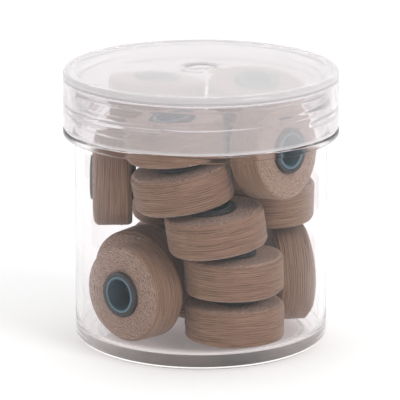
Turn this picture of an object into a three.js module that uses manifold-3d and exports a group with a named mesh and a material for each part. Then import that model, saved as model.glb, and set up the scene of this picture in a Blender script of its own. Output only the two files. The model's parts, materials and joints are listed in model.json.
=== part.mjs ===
// A clear screw-lid jar that holds pre-wound sewing bobbins.
// Millimetres, +Z up. The origin is the middle of the jar's foot, on the surface it stands on.
// The jar's front, the side most of the bobbins lean to, faces -Y.

import * as THREE from 'three';
import { mergeVertices } from 'three/addons/utils/BufferGeometryUtils.js';
import Module from 'manifold-3d';

const wasm = await Module();
wasm.setup();

// ---- Driving dimensions ----

const HEIGHT = 57.5; // foot to the lid's top
const LID_RADIUS = 28.4;
const LID_BOTTOM = 45.6;
const LID_TOP_PLATE = 1.9;
const LID_SKIRT_WALL = 1.4;
const LID_EDGE_ROUND = 0.9;

const BODY_RADIUS = 26.1;
const BODY_WALL = 1.4;
const FOOT_ROUND = 3;
const FOOT_RECESS = 1; // the underside is dished, so the jar stands on a foot ring
const FOOT_RECESS_RADIUS = 21.5;
const FLOOR = 3; // top of the jar's floor
const FLOOR_ROUND = 2;
const FLANGE_BOTTOM = 44;
const FLANGE_TOP = 45.3;
const NECK_RADIUS = 25.9;
const NECK_RIM = 54;
const EDGE_BREAK = 0.3;

const THREAD_LEAD = 1.2; // rise per turn of the interrupted thread
const NECK_CREST = 26.5;
const LID_CREST = 26.75; // clears the neck's crest, so the lid can lift straight off
const CREST_HALF = 0.35;
const ROOT_HALF = 0.9;
const THREAD_BITE = 0.2; // how deep a ridge is sunk in the wall that carries it

const WINDING_RADIUS = 10.15;
const WINDING_HALF = 3.9; // half the width of the wound thread
const WINDING_BREAK = 0.4;
const CORE_RADIUS = 4.7;
const CORE_HALF = 4.65; // the core stands a little proud of the thread on both sides
const CORE_WALL = 0.95;
const SLEEVE_WALL = 0.35;
const PRESS_GAP = 0.2; // space left between the nested rings of a bobbin

const JAR_SEGMENTS = 64;
const WINDING_SEGMENTS = 24;
const CORE_SEGMENTS = 16;
const ROUND_STEPS = 4;
const RIDGE_STEP = 10; // degrees

// Where each bobbin lies: x, y and z of its middle, how far its bore leans from upright,
// and the compass direction that it leans to (0 is +X, 90 is +Y).
const BOBBINS = [
  // the stack at the front, from the floor up
  { at: [6.8, -12.2, 7.7], lean: 0, facing: 0 },
  { at: [6.6, -12.3, 17.5], lean: 1, facing: 180 },
  { at: [3, -13.9, 27.2], lean: 8, facing: 195 },
  { at: [-3.8, -12.9, 36], lean: 10, facing: 190 },
  { at: [-5.2, -12.6, 45.8], lean: 7, facing: 190 },
  // on edge at the left
  { at: [-13.2, -12.1, 13.5], lean: 90, facing: 224 },
  { at: [-12.2, 0.3, 13.5], lean: 90, facing: 236 },
  { at: [-18.1, 0, 34.6], lean: 90, facing: 181 },
  // up the right side
  { at: [17.9, 3.4, 13.5], lean: 90, facing: 11 },
  { at: [13.8, 3.7, 29.5], lean: 5, facing: 284 },
  { at: [14.4, -11.1, 43], lean: 84, facing: 322 },
  { at: [11.4, 8.2, 47.5], lean: 9, facing: 295 },
  // the back, from the floor up
  { at: [2.1, 8.3, 7.7], lean: 0, facing: 0 },
  { at: [-4.5, 13.4, 17.2], lean: 6, facing: 195 },
  { at: [-4.7, 13.2, 27.5], lean: 7, facing: 237 },
  { at: [0.9, 12.5, 38.1], lean: 3, facing: 184 },
  { at: [-9.3, 9.2, 47.9], lean: 6, facing: 55 },
];

// ---- Materials ----

const plastic = (color, roughness, opacity = 1) =>
  new THREE.MeshStandardMaterial({ color, roughness, metalness: 0, opacity, transparent: opacity < 1 });

// ---- Shape helpers ----

const radians = THREE.MathUtils.degToRad;
const point = (r, z) => new THREE.Vector2(r, z);

// Points of a quarter-round corner, both ends included.
function arc(r, z, radius, fromDegrees, toDegrees) {
  const points = [];
  for (let i = 0; i <= ROUND_STEPS; i++) {
    const angle = radians(fromDegrees + ((toDegrees - fromDegrees) * i) / ROUND_STEPS);
    points.push(point(r + radius * Math.cos(angle), z + radius * Math.sin(angle)));
  }
  return points;
}

// A body of revolution about +Z. The outline runs anticlockwise, radius to the right and Z up.
function turned(outline, segments) {
  return new THREE.LatheGeometry(outline, segments).rotateX(Math.PI / 2);
}

function solidOf(geometry) {
  const bare = geometry.clone();
  bare.deleteAttribute('normal');
  bare.deleteAttribute('uv');
  const merged = mergeVertices(bare, 1e-5);
  const triangles = [];
  for (let i = 0; i < merged.index.count; i += 3) {
    const corners = [0, 1, 2].map((k) => merged.index.getX(i + k));
    if (new Set(corners).size === 3) triangles.push(...corners);
  }
  return new wasm.Manifold(
    new wasm.Mesh({
      numProp: 3,
      vertProperties: new Float32Array(merged.attributes.position.array),
      triVerts: new Uint32Array(triangles),
    }),
  );
}

function geometryOf(solid) {
  const mesh = solid.getMesh();
  const geometry = new THREE.BufferGeometry();
  geometry.setAttribute('position', new THREE.BufferAttribute(mesh.vertProperties, 3));
  geometry.setIndex(new THREE.BufferAttribute(mesh.triVerts, 1));
  geometry.computeVertexNormals();
  return geometry;
}

// One stretch of thread: a ridge of trapezoid section that climbs round +Z from startDegrees
// through sweepDegrees. Its middle starts at height z. root is the radius of its broad side,
// buried in the wall, and crest the radius of its narrow side.
function ridge(root, crest, z, startDegrees, sweepDegrees) {
  const steps = Math.round(sweepDegrees / RIDGE_STEP);
  const outward = crest > root;
  const section = [
    [root, -ROOT_HALF],
    [crest, -CREST_HALF],
    [crest, CREST_HALF],
    [root, ROOT_HALF],
  ];
  if (!outward) section.reverse();
  const positions = [];
  for (let i = 0; i <= steps; i++) {
    const turn = (sweepDegrees * i) / steps;
    const angle = radians(startDegrees + turn);
    const rise = z + (THREAD_LEAD * turn) / 360;
    for (const [r, up] of section) {
      positions.push(r * Math.cos(angle), r * Math.sin(angle), rise + up);
    }
  }
  const index = [0, 1, 2, 0, 2, 3];
  for (let i = 0; i < steps; i++) {
    for (let k = 0; k < 4; k++) {
      const a = 4 * i + k;
      const b = 4 * i + ((k + 1) % 4);
      index.push(a, a + 4, b, b, a + 4, b + 4);
    }
  }
  const last = 4 * steps;
  index.push(last, last + 2, last + 1, last, last + 3, last + 2);
  const geometry = new THREE.BufferGeometry();
  geometry.setAttribute('position', new THREE.Float32BufferAttribute(positions, 3));
  geometry.setIndex(index);
  return geometry;
}

function withRidges(wall, ridges) {
  const whole = ridges.reduce((sum, one) => sum.add(solidOf(one)), solidOf(wall));
  return geometryOf(whole);
}

// ---- Jar ----

function jarGeometry() {
  const bore = BODY_RADIUS - BODY_WALL;
  const wall = turned(
    [
      point(0, FOOT_RECESS),
      point(FOOT_RECESS_RADIUS - FOOT_RECESS, FOOT_RECESS),
      point(FOOT_RECESS_RADIUS, 0),
      ...arc(BODY_RADIUS - FOOT_ROUND, FOOT_ROUND, FOOT_ROUND, -90, 0),
      point(BODY_RADIUS, FLANGE_BOTTOM),
      point(LID_RADIUS - EDGE_BREAK, FLANGE_BOTTOM),
      point(LID_RADIUS, FLANGE_BOTTOM + EDGE_BREAK),
      point(LID_RADIUS, FLANGE_TOP - EDGE_BREAK),
      point(LID_RADIUS - EDGE_BREAK, FLANGE_TOP),
      point(NECK_RADIUS, FLANGE_TOP),
      point(NECK_RADIUS, NECK_RIM - EDGE_BREAK),
      point(NECK_RADIUS - EDGE_BREAK, NECK_RIM),
      point(bore + EDGE_BREAK, NECK_RIM),
      point(bore, NECK_RIM - EDGE_BREAK),
      ...arc(bore - FLOOR_ROUND, FLOOR + FLOOR_ROUND, FLOOR_ROUND, 0, -90),
      point(0, FLOOR),
    ],
    JAR_SEGMENTS,
  );
  const root = NECK_RADIUS - THREAD_BITE;
  return withRidges(wall, [
    ridge(root, NECK_CREST, 47.9, -230, 130),
    ridge(root, NECK_CREST, 50.8, -165, 300),
  ]);
}

// ---- Lid ----

function lidGeometry() {
  const underside = HEIGHT - LID_TOP_PLATE;
  const skirt = LID_RADIUS - LID_SKIRT_WALL;
  const wall = turned(
    [
      point(0, underside),
      point(skirt - EDGE_BREAK, underside),
      point(skirt, underside - EDGE_BREAK),
      point(skirt, LID_BOTTOM),
      point(LID_RADIUS, LID_BOTTOM),
      ...arc(LID_RADIUS - LID_EDGE_ROUND, HEIGHT - LID_EDGE_ROUND, LID_EDGE_ROUND, 0, 90),
      point(0, HEIGHT),
    ],
    JAR_SEGMENTS,
  );
  const root = skirt + THREAD_BITE;
  return withRidges(wall, [
    ridge(root, LID_CREST, 46.8, 30, 130),
    ridge(root, LID_CREST, 49.2, -40, 300),
  ]);
}

// ---- Bobbins ----

// A ring about +Z, square in section, with its outer edges broken by bevel.
function ring(inner, outer, half, bevel, segments) {
  const outline = [point(inner, -half), point(outer - bevel, -half)];
  if (bevel) {
    outline.push(point(outer, bevel - half), point(outer, half - bevel));
  }
  outline.push(point(outer - bevel, half), point(inner, half), point(inner, -half));
  return turned(outline, segments);
}

// From the outside in: the wound thread, the ring that it is wound on, and the ring's inner sleeve.
function bobbin(number, { at, lean, facing }) {
  const name = `bobbin_${String(number).padStart(2, '0')}`;
  const sleeveRadius = CORE_RADIUS - CORE_WALL - PRESS_GAP;
  const parts = {
    winding: [
      ring(CORE_RADIUS + PRESS_GAP, WINDING_RADIUS, WINDING_HALF, WINDING_BREAK, WINDING_SEGMENTS),
      plastic(0x9c8272, 0.85),
    ],
    core_ring: [
      ring(CORE_RADIUS - CORE_WALL, CORE_RADIUS, CORE_HALF, 0, CORE_SEGMENTS),
      plastic(0x303236, 0.55),
    ],
    sleeve: [
      ring(sleeveRadius - SLEEVE_WALL, sleeveRadius, CORE_HALF, 0, CORE_SEGMENTS),
      plastic(0x2f6268, 0.4),
    ],
  };
  const group = new THREE.Group();
  group.position.set(...at);
  const upright = new THREE.Vector3(0, 0, 1);
  const towards = radians(facing + 90);
  const leanAxis = new THREE.Vector3(Math.cos(towards), Math.sin(towards), 0);
  group.quaternion.setFromUnitVectors(upright, upright.clone().applyAxisAngle(leanAxis, radians(lean)));
  for (const [part, [geometry, material]] of Object.entries(parts)) {
    const mesh = new THREE.Mesh(geometry, material);
    mesh.name = `${name}_${part}`;
    group.add(mesh);
  }
  return group;
}

// ---- Assembly ----

const box = new THREE.Group();

const jar = new THREE.Mesh(jarGeometry(), plastic(0xf2f3f4, 0.05, 0.3));
jar.name = 'jar_body';
box.add(jar);

const lid = new THREE.Mesh(lidGeometry(), plastic(0xeceaec, 0.15, 0.45));
lid.name = 'screw_lid';
box.add(lid);

BOBBINS.forEach((placed, i) => box.add(bobbin(i + 1, placed)));

export default box;
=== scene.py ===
"""A clear screw-lid jar of pre-wound sewing bobbins, as it looks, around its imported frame."""

import json
import math

import bpy
import numpy as np
from mathutils import Matrix, Vector


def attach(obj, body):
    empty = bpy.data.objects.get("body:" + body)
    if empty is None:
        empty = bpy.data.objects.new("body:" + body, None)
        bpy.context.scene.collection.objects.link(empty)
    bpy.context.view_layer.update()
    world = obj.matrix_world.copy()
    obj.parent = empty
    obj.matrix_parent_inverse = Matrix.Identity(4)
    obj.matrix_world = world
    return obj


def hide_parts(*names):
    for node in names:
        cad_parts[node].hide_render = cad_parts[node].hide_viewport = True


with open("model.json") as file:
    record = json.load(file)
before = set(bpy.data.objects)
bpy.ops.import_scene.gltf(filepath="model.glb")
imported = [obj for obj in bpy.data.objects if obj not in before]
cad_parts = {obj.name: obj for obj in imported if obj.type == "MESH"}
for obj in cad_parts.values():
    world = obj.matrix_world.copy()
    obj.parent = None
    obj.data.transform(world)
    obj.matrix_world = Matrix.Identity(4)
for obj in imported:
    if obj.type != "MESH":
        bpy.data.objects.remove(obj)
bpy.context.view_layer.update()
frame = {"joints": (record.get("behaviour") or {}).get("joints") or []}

MM = 0.001
TURN = 2 * math.pi

# ---- Sizes, in millimetres ----

# The jar and the lid are turned about +Z. Heights are from the jar's foot.
BORE = 24.7
BODY_RADIUS = 26.1
NECK_RADIUS = 25.9
FLANGE = (44.0, 45.3)
FLANGE_RADIUS = 28.4
FOOT_RECESS = (21.5, 1.0)  # radius and depth
FOOT_ROUND = 3.0
FLOOR_TOP = 3.0
FLOOR_ROUND = 2.0
NECK_RIM = 54.0
LID_RADIUS = 28.4
LID_BORE = 27.0
LID_BOTTOM = 45.6
LID_UNDERSIDE = 55.6
LID_TOP = 57.5
LID_EDGE_ROUND = 0.9
SOFT_EDGE = 0.3  # round of the flange's and the lid's small edges

# Each stretch of thread: the angle that it starts at and its sweep, in degrees, and the height
# of its start.
NECK_RIDGES = [(-230, 130, 47.9), (-165, 300, 50.8)]
LID_RIDGES = [(30, 130, 46.8), (-40, 300, 49.2)]
NECK_CREST = 26.5
LID_CREST = 26.75
THREAD_LEAD = 1.2
CREST_HALF = 0.35
ROOT_HALF = 0.95
RIDGE_TAPER = 9  # degrees over which a ridge rises from the wall at each end

# A bobbin is turned about its own axis.
WINDING_RADIUS = 10.12
WINDING_HALF = 3.9
CORE_RADIUS = 4.7
CORE_BORE = 3.75
CORE_HALF = 4.65
SLEEVE_BORE = 3.2
THREAD_PITCH = 0.46
WINDING_CORNER = 0.85
STRANDS = 7  # loose threads laid over each winding
STRAND_RADIUS = 0.085
# A loose thread's share of the painted shade of the grooves.
STRAND_GROOVE_SHADE = -0.25  # lighter than the crown of a wound thread

JAR_COLUMNS = 288
WINDING_COLUMNS = 200
CORE_COLUMNS = 72


# ---- Meshes ----


def arc(r, z, radius, start, end, steps=6):
    """Points of a round corner about (r, z), from start to end degrees, both included."""
    angles = np.radians(np.linspace(start, end, steps + 1))
    return [(r + radius * math.cos(a), z + radius * math.sin(a)) for a in angles]


def line(a, b, steps):
    """Points from a to b with both ends left out."""
    shares = np.linspace(0, 1, steps + 1)[1:-1]
    return [(a[0] + (b[0] - a[0]) * s, a[1] + (b[1] - a[1]) * s) for s in shares]


def angles_round(columns):
    return np.arange(columns) * TURN / columns


def ring_points(radii, heights, columns):
    """Points in metres for a grid of radii and heights in millimetres, rows by columns."""
    around = angles_round(columns)
    shape = (len(radii), columns)
    radii = np.broadcast_to(np.reshape(radii, (len(radii), -1)), shape)
    heights = np.broadcast_to(np.reshape(heights, (len(heights), -1)), shape)
    return np.stack([radii * np.cos(around), radii * np.sin(around), heights], -1) * MM


def ring_faces(rows, columns, closed, first=0):
    """Quads of a grid that goes round an axis. A closed grid's last row meets its first."""
    faces = []
    for i in range(rows if closed else rows - 1):
        for j in range(columns):
            near, far = first + i * columns, first + (i + 1) % rows * columns
            k = (j + 1) % columns
            faces.append((near + j, near + k, far + k, far + j))
    return faces


def new_object(name, points, faces, material, crease=35):
    mesh = bpy.data.meshes.new(name)
    mesh.from_pydata(np.asarray(points).reshape(-1, 3).tolist(), [], faces)
    mesh.shade_smooth()
    mesh.set_sharp_from_angle(angle=math.radians(crease))
    mesh.materials.append(material)
    piece = bpy.data.objects.new(name, mesh)
    bpy.context.scene.collection.objects.link(piece)
    return piece


def mark(mesh, name, values):
    """Give the mesh's points one number each, for its material to read."""
    mesh.attributes.new(name, "FLOAT", "POINT").data.foreach_set("value", values)


def reach_and_height(mesh):
    """Each point's distance from the jar's axis and its height, in millimetres."""
    places = np.array([v.co for v in mesh.vertices]) / MM
    return np.hypot(places[:, 0], places[:, 1]), places[:, 2]


def turned_body(name, profile, material, shape=None):
    """A body turned about +Z. Its profile starts and ends on the axis. shape moves its radii."""
    outline = np.array(profile)
    radii = outline[1:-1, :1] + np.zeros(JAR_COLUMNS)
    heights = outline[1:-1, 1:] + np.zeros(JAR_COLUMNS)
    if shape:
        radii = shape(radii, heights, np.degrees(angles_round(JAR_COLUMNS)))
    rows = len(radii)
    points = ring_points(radii, heights, JAR_COLUMNS).reshape(-1, 3)
    ends = [(0, 0, outline[0, 1] * MM), (0, 0, outline[-1, 1] * MM)]
    start_pole, end_pole = len(points), len(points) + 1
    faces = ring_faces(rows, JAR_COLUMNS, closed=False)
    last = (rows - 1) * JAR_COLUMNS
    for j in range(JAR_COLUMNS):
        k = (j + 1) % JAR_COLUMNS
        faces.append((start_pole, k, j))
        faces.append((end_pole, last + j, last + k))
    return new_object(name, np.vstack([points, ends]), faces, material)


# ---- Materials ----


class Shader:
    """A new material's node tree, with short ways to add nodes and links."""

    def __init__(self, name):
        self.material = bpy.data.materials.new(name)
        self.material.use_nodes = True
        self.tree = self.material.node_tree
        self.tree.nodes.clear()
        self.output = self.tree.nodes.new("ShaderNodeOutputMaterial")

    def node(self, kind, **settings):
        made = self.tree.nodes.new(kind)
        for key, value in settings.items():
            setattr(made, key, value)
        return made

    def link(self, source, target):
        self.tree.links.new(source, target)

    def principled(self, **values):
        made = self.node("ShaderNodeBsdfPrincipled")
        for key, value in values.items():
            made.inputs[key.replace("_", " ")].default_value = value
        return made

    def noise(self, source, scale, detail=3.0, stretch=(1, 1, 1)):
        """Noise from 0 to 1 over a coordinate, in features per unit of it."""
        mapping = self.node("ShaderNodeMapping")
        mapping.inputs["Scale"].default_value = stretch
        self.link(source, mapping.inputs["Vector"])
        made = self.node("ShaderNodeTexNoise")
        made.inputs["Scale"].default_value = scale
        made.inputs["Detail"].default_value = detail
        self.link(mapping.outputs[0], made.inputs["Vector"])
        return made.outputs["Fac"]

    def spread(self, source, low, high, from_low=0.0, from_high=1.0):
        made = self.node("ShaderNodeMapRange")
        made.inputs["From Min"].default_value = from_low
        made.inputs["From Max"].default_value = from_high
        made.inputs["To Min"].default_value = low
        made.inputs["To Max"].default_value = high
        self.link(source, made.inputs["Value"])
        return made.outputs[0]

    def blend(self, share, a, b):
        """A colour from a to b. Each is a colour or a socket."""
        made = self.node("ShaderNodeMix", data_type="RGBA")
        self.link(share, made.inputs[0])
        for value, socket in ((a, made.inputs[6]), (b, made.inputs[7])):
            if isinstance(value, tuple):
                socket.default_value = (*value, 1)
            else:
                self.link(value, socket)
        return made.outputs[2]

    def math(self, operation, a, b):
        made = self.node("ShaderNodeMath", operation=operation)
        for value, socket in zip((a, b), made.inputs):
            if isinstance(value, (int, float)):
                socket.default_value = value
            else:
                self.link(value, socket)
        return made.outputs[0]

    def bump(self, height, distance, shader, strength=1.0):
        made = self.node("ShaderNodeBump")
        made.inputs["Distance"].default_value = distance
        made.inputs["Strength"].default_value = strength
        self.link(height, made.inputs["Height"])
        self.link(made.outputs[0], shader.inputs["Normal"])

    def attribute(self, name):
        return self.node("ShaderNodeAttribute", attribute_name=name).outputs["Fac"]


def clear_plastic(name, tint, roughness, clear, ior, painted_highlight_share=0):
    """Moulded clear plastic, rougher where its mesh is marked frost and, by the share given,
    whiter on the edges that its mesh marks, as a painted highlight. Soft light goes straight
    through it to what it holds."""
    s = Shader(name)
    plastic = s.principled(
        Base_Color=(*tint, 1), IOR=ior, Transmission_Weight=clear, Specular_IOR_Level=0.5
    )
    place = s.node("ShaderNodeTexCoord").outputs["Object"]
    cloud = s.noise(place, 90)
    polish = s.spread(cloud, roughness * 0.6, roughness * 1.6, 0.3, 0.7)
    frost = s.math("MULTIPLY", s.attribute("frost"), 0.35)
    s.link(s.math("ADD", polish, frost), plastic.inputs["Roughness"])
    if painted_highlight_share:
        # Painted highlight: the marked edges are less clear, so whiter.
        seen_through = s.spread(s.attribute("painted_edge_highlight"), clear, clear - painted_highlight_share)
        s.link(seen_through, plastic.inputs["Transmission Weight"])
    waves = s.noise(place, 160, detail=1.0, stretch=(1, 1, 0.35))
    s.bump(waves, 0.00001, plastic)
    straight = s.node("ShaderNodeBsdfTransparent")
    straight.inputs["Color"].default_value = (0.93, 0.915, 0.915, 1)
    rays = s.node("ShaderNodeLightPath")
    for kind in ("Is Diffuse Ray", "Is Shadow Ray"):
        mix = s.node("ShaderNodeMixShader")
        s.link(rays.outputs[kind], mix.inputs[0])
        s.link(plastic.outputs[0], mix.inputs[1])
        s.link(straight.outputs[0], mix.inputs[2])
        plastic = mix
    s.link(plastic.outputs[0], s.output.inputs["Surface"])
    return s.material


def thread_material():
    """Wound filament thread: painted shade in its grooves, streaked along its run, with a soft
    sheen, and end faces painted paler with sheen, glints and shade between loops.
    """
    s = Shader("taupe_thread")
    yarn = s.principled(Sheen_Weight=0.25, Sheen_Roughness=0.45, Specular_IOR_Level=0.3)
    # How deep in the grooves each point lies: the colour is darkened there as painted shade.
    groove_and_shade = s.attribute("groove_and_shade")
    run = s.node("ShaderNodeUVMap", uv_map="run").outputs[0]
    streak = s.noise(run, 1.6, detail=2.0, stretch=(0.07, 3.0, 1))
    grain = s.noise(run, 3.0, detail=2.0, stretch=(0.5, 1.9, 1))
    patch = s.noise(run, 0.16, detail=2.0)
    end = s.attribute("end")
    tone = s.blend(s.spread(patch, 0, 1, 0.3, 0.7), (0.205, 0.112, 0.067), (0.265, 0.152, 0.094))
    side_lit = s.blend(s.spread(streak, 0, 0.6, 0.38, 0.72), tone, (0.52, 0.345, 0.25))
    # Painted light on the end faces: paler than the sides as painted sheen over real tone patches,
    # darker between the loops as painted shade, and lighter on them as painted glints.
    end_tone_and_sheen = s.blend(s.spread(patch, 0, 1, 0.3, 0.7), (0.38, 0.245, 0.18), (0.46, 0.31, 0.235))
    end_dark = s.blend(s.spread(grain, 0.6, 0, 0.34, 0.52), end_tone_and_sheen, (0.15, 0.085, 0.06))
    end_lit = s.blend(s.spread(grain, 0, 0.7, 0.5, 0.7), end_dark, (0.78, 0.6, 0.51))
    lit = s.blend(end, side_lit, end_lit)
    # Painted shade: the deeper in the grooves, the closer the colour is to near-black.
    shaded = s.blend(s.math("MULTIPLY", groove_and_shade, 0.9), lit, (0.035, 0.017, 0.011))
    s.link(shaded, yarn.inputs["Base Color"])
    s.link(s.spread(streak, 0.5, 0.72), yarn.inputs["Roughness"])
    fibre = s.noise(run, 7.0, detail=2.0, stretch=(0.5, 1.6, 1))
    loops = s.math("MULTIPLY", s.math("MULTIPLY", grain, end), 0.3)
    s.bump(s.math("ADD", fibre, loops), 0.00005, yarn)
    s.link(yarn.outputs[0], s.output.inputs["Surface"])
    return s.material


def core_ring_material():
    """Charcoal bonded ferrite: fine pale specks in a satin grey."""
    s = Shader("charcoal_ring")
    ring = s.principled(Specular_IOR_Level=0.45)
    place = s.node("ShaderNodeTexCoord").outputs["Object"]
    speck = s.noise(place, 5200, detail=1.0)
    cloud = s.noise(place, 420)
    base = s.blend(s.spread(cloud, 0, 1, 0.3, 0.7), (0.014, 0.014, 0.018), (0.03, 0.03, 0.036))
    specked = s.blend(s.spread(speck, 0, 0.5, 0.6, 0.75), base, (0.13, 0.13, 0.14))
    s.link(specked, ring.inputs["Base Color"])
    s.link(s.spread(cloud, 0.38, 0.58), ring.inputs["Roughness"])
    s.bump(speck, 0.00001, ring)
    s.link(ring.outputs[0], s.output.inputs["Surface"])
    return s.material


def sleeve_material():
    """Teal moulded plastic, with a painted highlight that makes the rims of the tube paler."""
    s = Shader("teal_sleeve")
    tube = s.principled(Specular_IOR_Level=0.5)
    place = s.node("ShaderNodeTexCoord").outputs["Object"]
    cloud = s.noise(place, 260)
    base = s.blend(s.spread(cloud, 0, 1, 0.3, 0.7), (0.014, 0.07, 0.1), (0.02, 0.1, 0.135))
    # Painted highlight: paler teal where the tube is marked rim.
    s.link(s.blend(s.attribute("rim"), base, (0.1, 0.22, 0.28)), tube.inputs["Base Color"])
    s.link(s.spread(cloud, 0.28, 0.42), tube.inputs["Roughness"])
    s.bump(s.noise(place, 1500, stretch=(1, 1, 0.1)), 0.00001, tube)
    s.link(tube.outputs[0], s.output.inputs["Surface"])
    return s.material


def floor_material():
    s = Shader("pale_floor")
    paint = s.principled(Base_Color=(0.93, 0.93, 0.93, 1), Roughness=0.7, Specular_IOR_Level=0.1)
    paint.inputs["Emission Color"].default_value = (1, 1, 1, 1)
    paint.inputs["Emission Strength"].default_value = 0.2
    s.link(paint.outputs[0], s.output.inputs["Surface"])
    return s.material


# ---- Jar and lid ----


def ridge_height(ridges, heights, degrees):
    """How much of a ridge's full height the wall carries at each height and angle, from 0 to 1."""
    whole = np.zeros(np.broadcast(heights, degrees).shape)
    for start, sweep, z in ridges:
        turn = (degrees - start) % 360
        middle = z + THREAD_LEAD * turn / 360
        across = (ROOT_HALF - np.abs(heights - middle)) / (ROOT_HALF - CREST_HALF)
        along = np.minimum(turn, sweep - turn) / RIDGE_TAPER
        share = np.clip(across, 0, 1) * np.clip(along, 0, 1)
        whole = np.maximum(whole, share * share * (3 - 2 * share))
    return whole


def make_jar(material):
    recess, rise = FOOT_RECESS
    low, high = FLANGE
    rim = FLANGE_RADIUS - SOFT_EDGE
    profile = [
        (0, rise - 0.3),
        (1.0, rise - 0.3),
        *arc(1.0, rise - 0.15, 0.15, -90, 0, 4),
        (1.25, rise),
        *line((1.25, rise), (recess - 1.5, rise), 8),
        *arc(recess - 1.2, rise - 0.5, 0.5, 90, 30, 4),
        *arc(recess + 0.15, 0.45, 0.45, 210, 270, 4),
        *line((recess + 0.15, 0), (BODY_RADIUS - FOOT_ROUND, 0), 4),
        *arc(BODY_RADIUS - FOOT_ROUND, FOOT_ROUND, FOOT_ROUND, -90, 0, 16),
        *line((BODY_RADIUS, FOOT_ROUND), (BODY_RADIUS, low - SOFT_EDGE), 24),
        *arc(BODY_RADIUS + SOFT_EDGE, low - SOFT_EDGE, SOFT_EDGE, 180, 90, 4),
        (rim - 0.2, low),
        *arc(rim, low + SOFT_EDGE, SOFT_EDGE, -90, 0, 4),
        *arc(rim, high - SOFT_EDGE, SOFT_EDGE, 0, 90, 4),
        (rim - 0.2, high),
        *arc(NECK_RADIUS + 0.25, high + 0.25, 0.25, -90, -180, 4),
        *line((NECK_RADIUS, high + 0.25), (NECK_RADIUS, NECK_RIM - 0.4), 56),
        *arc(NECK_RADIUS - 0.4, NECK_RIM - 0.4, 0.4, 0, 90, 5),
        *arc(BORE + 0.4, NECK_RIM - 0.4, 0.4, 90, 180, 5),
        *line((BORE, NECK_RIM - 0.4), (BORE, FLOOR_TOP + FLOOR_ROUND), 30),
        *arc(BORE - FLOOR_ROUND, FLOOR_TOP + FLOOR_ROUND, FLOOR_ROUND, 0, -90, 10),
        *line((BORE - FLOOR_ROUND, FLOOR_TOP), (0.5, FLOOR_TOP), 8),
        (0.5, FLOOR_TOP),
        (0, FLOOR_TOP),
    ]

    def threaded(radii, heights, degrees):
        on_wall = (radii > NECK_RADIUS - 0.01) & (radii < NECK_RADIUS + 0.2)
        on_neck = on_wall & (heights > high + 0.2)
        share = ridge_height(NECK_RIDGES, heights, degrees)
        return radii + on_neck * (NECK_CREST - NECK_RADIUS) * share

    jar = turned_body("jar_clear", profile, material, threaded)
    radii, heights = reach_and_height(jar.data)
    under = (heights < rise + 0.05) & (radii < recess + 2)
    mark(jar.data, "frost", 1.6 * under + 0.7 * (radii > FLANGE_RADIUS - 0.25))
    return jar


def make_lid(material):
    outer, top = LID_RADIUS, LID_TOP
    profile = [
        (0, LID_UNDERSIDE),
        (0.5, LID_UNDERSIDE),
        *line((0.5, LID_UNDERSIDE), (LID_BORE - 0.5, LID_UNDERSIDE), 10),
        *arc(LID_BORE - 0.5, LID_UNDERSIDE - 0.5, 0.5, 90, 0, 5),
        *line((LID_BORE, LID_UNDERSIDE - 0.5), (LID_BORE, LID_BOTTOM + 0.3), 60),
        *arc(LID_BORE + SOFT_EDGE, LID_BOTTOM + SOFT_EDGE, SOFT_EDGE, 180, 270, 4),
        *arc(outer - SOFT_EDGE, LID_BOTTOM + SOFT_EDGE, SOFT_EDGE, -90, 0, 4),
        *line((outer, LID_BOTTOM + SOFT_EDGE), (outer, top - LID_EDGE_ROUND), 16),
        *arc(outer - LID_EDGE_ROUND, top - LID_EDGE_ROUND, LID_EDGE_ROUND, 0, 90, 10),
        *line((outer - LID_EDGE_ROUND, top), (3.5, top), 10),
        (3.5, top),
        (3.25, top - 0.04),
        (3.0, top - 0.1),
        (2.7, top - 0.13),
        *line((2.7, top - 0.13), (0.5, top - 0.04), 5),
        (0.5, top - 0.04),
        (0, top - 0.04),
    ]

    def threaded(radii, heights, degrees):
        on_bore = (np.abs(radii - LID_BORE) < 0.01) & (heights < LID_UNDERSIDE - 0.4)
        share = ridge_height(LID_RIDGES, heights, degrees)
        return radii - on_bore * (LID_BORE - LID_CREST) * share

    lid = turned_body("lid_hazy", profile, material, threaded)
    radii, heights = reach_and_height(lid.data)
    # Marks the lid's outer top and bottom edges, where its material paints a highlight by making
    # them whiter.
    edge = (heights > top - LID_EDGE_ROUND - 0.05) | (heights < LID_BOTTOM + 0.4)
    mark(lid.data, "painted_edge_highlight", 1.0 * (edge & (radii > outer - 1)))
    return lid


# ---- Bobbins ----


def ripple(rng, around, across, turns, rate, terms=6):
    """Smooth random waves about 0 that close on themselves round the axis."""
    total = 0
    for _ in range(terms):
        swing = rng.integers(1, turns + 1) * around + rng.uniform(-rate, rate) * across
        total = total + np.sin(swing + rng.uniform(0, TURN))
    return total / math.sqrt(terms)


def winding_outline():
    """Rows of the wound thread's outline: radius, height, outward direction, and how much of each
    row is face, side and corner."""
    corner = WINDING_CORNER
    inner, half = CORE_RADIUS + 0.03, WINDING_HALF
    flat, straight = WINDING_RADIUS - corner, half - corner
    rows = []
    for r in np.linspace(inner, flat, 47):
        rows.append((r, -half, 0, -1, 1, 0, 0))
    for a in np.radians(np.linspace(-90, 0, 9)[1:-1]):
        bulge = math.sin(-2 * a)
        side = math.cos(a) ** 2
        out, up = math.cos(a), math.sin(a)
        rows.append((flat + corner * out, corner * up - straight, out, up, 1 - side, side, bulge))
    for z in np.linspace(-straight, straight, 57):
        rows.append((WINDING_RADIUS, z, 1, 0, 0, 1, 0))
    lower = [row for row in rows if row[3] < 0]
    for r, z, out, up, face, side, bulge in reversed(lower):
        rows.append((r, -z, out, -up, face, side, bulge))
    return np.array(rows)


def zigzag(x):
    return np.abs(x / math.pi % 2 - 1) * 2 - 1


def groove_depth(x):
    """0 on the middle of a thread and 1 between two, for x counted in threads."""
    return 1 - np.abs(np.sin(math.pi * x)) ** 0.7


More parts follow.
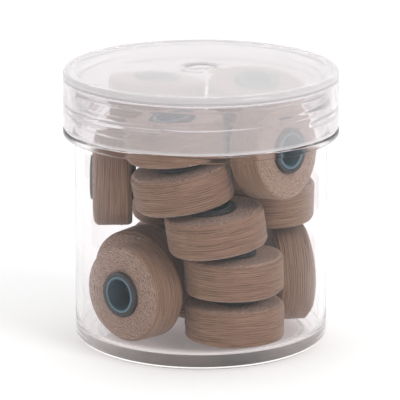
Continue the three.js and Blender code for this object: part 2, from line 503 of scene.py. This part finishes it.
def winding_relief(rng, outline):
    """Three grids: the offset along the outline's outward direction in millimetres, how deep in
    the grooves each point lies from 0 to 1, which the thread's colour also darkens as painted
    shade, and its share of face."""
    around = angles_round(WINDING_COLUMNS)[None, :]
    r, z, _, up, face, side, bulge = [column[:, None] for column in outline.T]
    pitch = THREAD_PITCH
    lap = r + 0.17 * zigzag(30 * around + 2.6 * ripple(rng, 0 * around, r / pitch, 1, 2.5))
    lap = lap + 0.12 * ripple(rng, around, 0.6 * r, 3, 1)
    on_face = groove_depth(lap / pitch)
    loose = 0.5 + 0.5 * ripple(rng, around, r, 40, 9, 12)
    on_face = np.clip(on_face * (0.5 + 0.5 * loose) + 0.5 * np.clip(loose - 0.75, 0, 1), 0, 1)
    lean = rng.uniform(0.5, 0.9)
    first = z + lean * np.sin(around + rng.uniform(0, TURN)) + 0.12 * ripple(rng, around, z, 6, 1)
    second = z - lean * np.sin(around + rng.uniform(0, TURN)) + 0.12 * ripple(rng, around, z, 6, 1)
    crossed = np.clip(3 * ripple(rng, around, z, 5, 1.2) - 0.8, 0, 1)
    on_side = groove_depth(first / pitch) * (1 - crossed) + groove_depth(second / pitch) * crossed
    strong = 0.55 + 0.45 * ripple(rng, around, 5 * z, 3, 4)
    on_side = np.clip(on_side * np.clip(strong, 0.2, 1.1), 0, 1)
    groove_and_shade = face * on_face + side * on_side
    swell = ripple(rng, around, 0.35 * z, 3, 1)
    sag = ripple(rng, around, 3 * np.sign(up), 3, 1)
    offset = -0.12 * groove_and_shade - 0.04 * (1 + swell) * side
    offset = offset - 0.05 * (1 + ripple(rng, around, r, 4, 0.6)) * face
    offset = offset - bulge * 0.28 * np.clip(0.35 + sag, 0, 1.6)
    return offset, groove_and_shade, np.broadcast_to(face, groove_and_shade.shape)


def strand(rng, sides=6, steps=44):
    """A loose thread laid across the side of a winding, as a closed tube about a path."""
    start, span = rng.uniform(0, TURN), rng.uniform(0.9, 2.6)
    low, high = rng.uniform(-3.1, 3.1, 2)
    t = np.linspace(0, 1, steps)
    angle = start + span * t
    height = low + (high - low) * t + 0.15 * np.sin(TURN * t * rng.uniform(0.5, 1.5))
    dip = np.clip(1 - np.minimum(t, 1 - t) * 9, 0, 1)
    radius = WINDING_RADIUS - 0.07 - 0.22 * dip
    middle = np.stack([radius * np.cos(angle), radius * np.sin(angle), height], -1)
    along = np.gradient(middle, axis=0)
    along /= np.linalg.norm(along, axis=1, keepdims=True)
    out = middle * (1, 1, 0)
    out /= np.linalg.norm(out, axis=1, keepdims=True)
    beside = np.cross(along, out)
    ring = angles_round(sides)
    points = (
        middle[:, None]
        + STRAND_RADIUS * np.cos(ring)[None, :, None] * out[:, None]
        + STRAND_RADIUS * np.sin(ring)[None, :, None] * beside[:, None]
    )
    return points


def make_winding(name, rng, material):
    outline = winding_outline()
    offset, groove_and_shade, face = winding_relief(rng, outline)
    radii = outline[:, :1] + outline[:, 2:3] * offset
    heights = outline[:, 1:2] + outline[:, 3:4] * offset
    rows, columns = radii.shape
    points = [ring_points(radii, heights, columns).reshape(-1, 3)]
    depth = [groove_and_shade.ravel()]
    end = [face.ravel()]
    faces = ring_faces(rows, columns, closed=True)
    count = rows * columns
    for _ in range(STRANDS):
        tube = strand(rng)
        steps, sides = tube.shape[:2]
        faces += [face[::-1] for face in ring_faces(steps, sides, closed=False, first=count)]
        faces.append(tuple(range(count, count + sides)))
        faces.append(tuple(range(count + steps * sides - sides, count + steps * sides))[::-1])
        points.append(tube.reshape(-1, 3) * MM)
        depth.append(np.full(steps * sides, STRAND_GROOVE_SHADE))
        end.append(np.zeros(steps * sides))
        count += steps * sides
    piece = new_object(name, np.vstack(points), faces, material, crease=60)
    mesh = piece.data
    # Painted shade mark: how deep in the grooves each point lies.
    mark(mesh, "groove_and_shade", np.concatenate(depth))
    mark(mesh, "end", np.concatenate(end))
    add_run_uv(mesh)
    return piece


def add_run_uv(mesh):
    """Texture places that run along the thread, in millimetres: round the axis, and across the
    threads from the middle of the side out and in over each face."""
    points = np.empty(len(mesh.vertices) * 3)
    mesh.vertices.foreach_get("co", points)
    x, y, z = points.reshape(-1, 3).T / MM
    corners = np.empty(len(mesh.loops), np.int32)
    mesh.loops.foreach_get("vertex_index", corners)
    radius = np.hypot(x, y)
    angle = np.arctan2(y, x)[corners]
    starts = [face.loop_start for face in mesh.polygons]
    first = np.repeat(angle[starts], [face.loop_total for face in mesh.polygons])
    angle = first + (angle - first + math.pi) % TURN - math.pi
    inward = np.clip(z / WINDING_HALF * 1.3, -1, 1) * (WINDING_RADIUS - radius)
    places = np.stack([angle * WINDING_RADIUS, (z + inward)[corners]], -1)
    mesh.uv_layers.new(name="run").data.foreach_set("uv", places.ravel())


def make_tube(name, inner, outer, half, bevel, material, rim=None):
    """A plain tube about +Z with rounded rims."""
    low = [
        *arc(outer - bevel, bevel - half, bevel, -90, 0, 4),
        *line((outer, bevel - half), (outer, half - bevel), 6),
    ]
    high = [
        *arc(outer - bevel, half - bevel, bevel, 0, 90, 4),
        *arc(inner + bevel, half - bevel, bevel, 90, 180, 4),
        *line((inner, half - bevel), (inner, bevel - half), 12),
        *arc(inner + bevel, bevel - half, bevel, 180, 270, 4),
    ]
    outline = np.array(low + high)
    points = ring_points(outline[:, :1], outline[:, 1:], CORE_COLUMNS)
    piece = new_object(name, points, ring_faces(len(outline), CORE_COLUMNS, closed=True), material)
    # The rim mark is where the sleeve material paints a highlight.
    if rim:
        near = np.abs(outline[:, 1]) > half - rim
        wide = np.clip((outline[:, 0] - outer + 2 * rim) / rim, 0, 1)
        shares = np.repeat(near * wide, CORE_COLUMNS)
        mark(piece.data, "rim", shares)
    return piece


def make_bobbin(joint, seed, materials):
    """The three pieces of one bobbin, placed on the hinge that it turns on."""
    body = joint["child"]
    rng = np.random.default_rng(seed)
    lean = Vector((0, 0, 1)).rotation_difference(Vector(joint["axis"])).to_matrix().to_4x4()
    place = Matrix.Translation(joint["pos_m"]) @ lean
    ring, sleeve = materials["core_ring"], materials["sleeve"]
    sleeve_radius, sleeve_half = CORE_BORE - 0.02, CORE_HALF - 0.02
    pieces = {
        "winding": make_winding(f"{body}_wound_thread", rng, materials["thread"]),
        "core_ring": make_tube(
            f"{body}_charcoal_ring", CORE_BORE, CORE_RADIUS, CORE_HALF, 0.16, ring
        ),
        "sleeve": make_tube(
            f"{body}_teal_tube", SLEEVE_BORE, sleeve_radius, sleeve_half, 0.1, sleeve, rim=0.1
        ),
    }
    for part, piece in pieces.items():
        piece.data.transform(place)
        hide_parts(f"{body}_{part}")
        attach(piece, body)


# ---- Studio ----


def make_studio():
    floor = bpy.data.meshes.new("floor")
    reach = 4.0
    corners = [(-reach, -reach, 0), (reach, -reach, 0), (reach, reach, 0), (-reach, reach, 0)]
    floor.from_pydata(corners, [], [(0, 1, 2, 3)])
    floor.materials.append(floor_material())
    ground = bpy.data.objects.new("floor", floor)
    bpy.context.scene.collection.objects.link(ground)

    make_world()
    add_softbox("key", (0.7, -0.6, 0.7), 0.4, 4.5)
    add_softbox("fill", (-0.9, -0.5, 0.4), 0.5, 1)


def make_world():
    """Even white light that is strongest behind the jar and weakest in front of it."""
    world = bpy.data.worlds.new("studio")
    world.use_nodes = True
    tree = world.node_tree
    sky = tree.nodes["Background"]
    sky.inputs["Color"].default_value = (1, 1, 1, 1)
    direction = tree.nodes.new("ShaderNodeTexCoord").outputs["Generated"]
    parts = tree.nodes.new("ShaderNodeSeparateXYZ")
    tree.links.new(direction, parts.inputs[0])
    ramp = tree.nodes.new("ShaderNodeMapRange")
    ramp.inputs["From Min"].default_value = -0.5
    ramp.inputs["From Max"].default_value = 0.7
    ramp.inputs["To Min"].default_value = 0.5
    ramp.inputs["To Max"].default_value = 1.2
    tree.links.new(parts.outputs["Y"], ramp.inputs["Value"])
    tree.links.new(ramp.outputs[0], sky.inputs["Strength"])
    bpy.context.scene.world = world


def add_softbox(name, place, size, power):
    lamp = bpy.data.lights.new(name, "AREA")
    lamp.shape = "SQUARE"
    lamp.size = size
    lamp.energy = power
    box = bpy.data.objects.new(name, lamp)
    box.location = place
    box.rotation_euler = (Vector(place) - Vector((0, 0, 0.03))).to_track_quat("Z", "Y").to_euler()
    bpy.context.scene.collection.objects.link(box)


def make_camera():
    aim = Vector((0, 0, 0.0322))
    distance, elevation = 0.834, math.radians(14.24)
    camera = bpy.data.cameras.new("camera")
    camera.sensor_width = 36
    camera.lens = 363.2
    camera.shift_x = -0.0025
    camera.shift_y = -0.032
    view = bpy.data.objects.new("camera", camera)
    view.location = aim + distance * Vector((0, -math.cos(elevation), math.sin(elevation)))
    view.rotation_euler = (view.location - aim).to_track_quat("Z", "Y").to_euler()
    bpy.context.scene.collection.objects.link(view)
    bpy.context.scene.camera = view


make_camera()
make_studio()

jar = make_jar(clear_plastic("clear_jar", (0.955, 0.938, 0.944), 0.01, 1.0, 1.28))
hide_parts("jar_body")
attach(jar, "jar")

# The last number is how much whiter the lid's edges are made, as a painted highlight.
lid = make_lid(clear_plastic("hazy_lid", (0.885, 0.86, 0.875), 0.05, 0.8, 1.42, 0.3))
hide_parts("screw_lid")
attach(lid, "lid")

bobbin_materials = {
    "thread": thread_material(),
    "core_ring": core_ring_material(),
    "sleeve": sleeve_material(),
}
spins = [joint for joint in frame["joints"] if joint["type"] == "hinge"]
for seed, joint in enumerate(spins, 1):
    make_bobbin(joint, seed, bobbin_materials)

scene = bpy.context.scene
scene.view_settings.view_transform = "Standard"
scene.cycles.use_denoising = True
scene.cycles.max_bounces = 24
scene.cycles.transmission_bounces = 24
scene.cycles.transparent_max_bounces = 48
